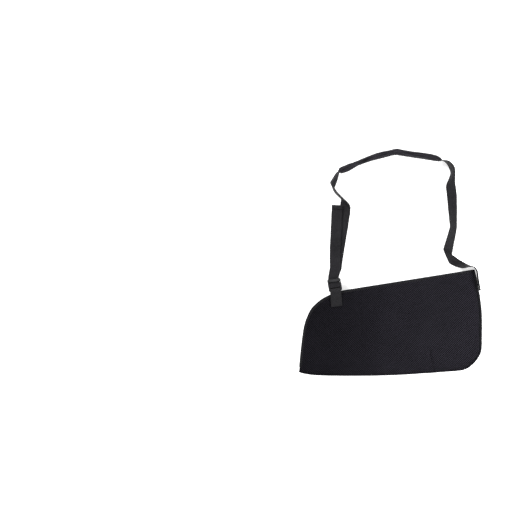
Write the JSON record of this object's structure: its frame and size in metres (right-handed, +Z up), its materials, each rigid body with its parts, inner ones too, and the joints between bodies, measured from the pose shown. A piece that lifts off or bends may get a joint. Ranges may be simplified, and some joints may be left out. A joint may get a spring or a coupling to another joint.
{
  "type": "arm sling",
  "caption": "Mesh envelope arm sling with a hinged mouth, a webbing shoulder strap through a ladder lock, and a sliding soft neck pad, laid flat.",
  "frame": {"origin": "centre of the bounding box's bottom, on the table that the sling lies on", "axes": "+X along the forearm from the hand end to the elbow, +Y from the pouch towards the neck, +Z up off the table"},
  "size_m": [0.431, 0.5326, 0.038],
  "materials": {
    "mesh": "matte knitted spacer mesh",
    "binding_tape": "matte woven tape",
    "webbing": "satin woven webbing",
    "thread": "twisted sewing thread",
    "lock_plastic": "moulded satin",
    "pad_fabric": "brushed knit",
    "foam": "soft open-cell foam"
  },
  "bodies": {
    "pouch": {"back_panel": "mesh", "front_panel_lower": "mesh", "bottom_fold": "mesh", "elbow_seam_binding": "binding_tape", "mouth_binding_back": "binding_tape", "hand_end_binding_back": "binding_tape", "elbow_dart": "mesh", "strap_sewn_end": "webbing", "elbow_anchor_stitching": "thread"},
    "mouth_flap": {"front_panel_upper": "mesh", "mouth_binding_front": "binding_tape", "hand_end_binding_front": "binding_tape", "tab_webbing": "webbing", "tab_stitching": "thread"},
    "strap_loop": {"shoulder_strap": "webbing", "tail_lower": "webbing", "tail_upper": "webbing"},
    "buckle": {"ladder_lock": "lock_plastic", "strap_wrap": "webbing"},
    "tail_end": {"tail_end_hem": "webbing", "tail_hem_stitching": "thread"},
    "neck_pad": {"pad_cover": "pad_fabric", "pad_foam": "foam", "pad_lining": "pad_fabric", "pad_end_binding_left": "binding_tape", "pad_end_binding_right": "binding_tape", "pad_seam_stitching": "thread"}
  },
  "joints": [
    {"name": "mouth_open", "type": "hinge", "parent": "pouch", "child": "mouth_flap", "pos_m": [-0.2148, -0.25667, 0.011], "axis": [0.8641, 0.5033, 0], "range_deg": [0, 35]},
    {"name": "strap_fold", "type": "hinge", "parent": "mouth_flap", "child": "strap_loop", "pos_m": [-0.12977, -0.06353, 0.02756], "axis": [0.9884, 0.1437, -0.0498], "range_deg": [0, 95]},
    {"name": "buckle_tilt", "type": "hinge", "parent": "strap_loop", "child": "buckle", "pos_m": [-0.12977, -0.06353, 0.02756], "axis": [0.9884, 0.1437, -0.0498], "range_deg": [0, 30]},
    {"name": "strap_adjust", "type": "slide", "parent": "strap_loop", "child": "tail_end", "axis": [0.0459, 0.9989, 0.0102], "range_m": [-0.065, 0], "deforming": ["tail_upper"]},
    {"name": "pad_slide", "type": "hinge", "parent": "strap_loop", "child": "neck_pad", "pos_m": [0.023, 0.00093, 0.019], "axis": [0, 0, 1], "range_deg": [-3, 3]}
  ]
}
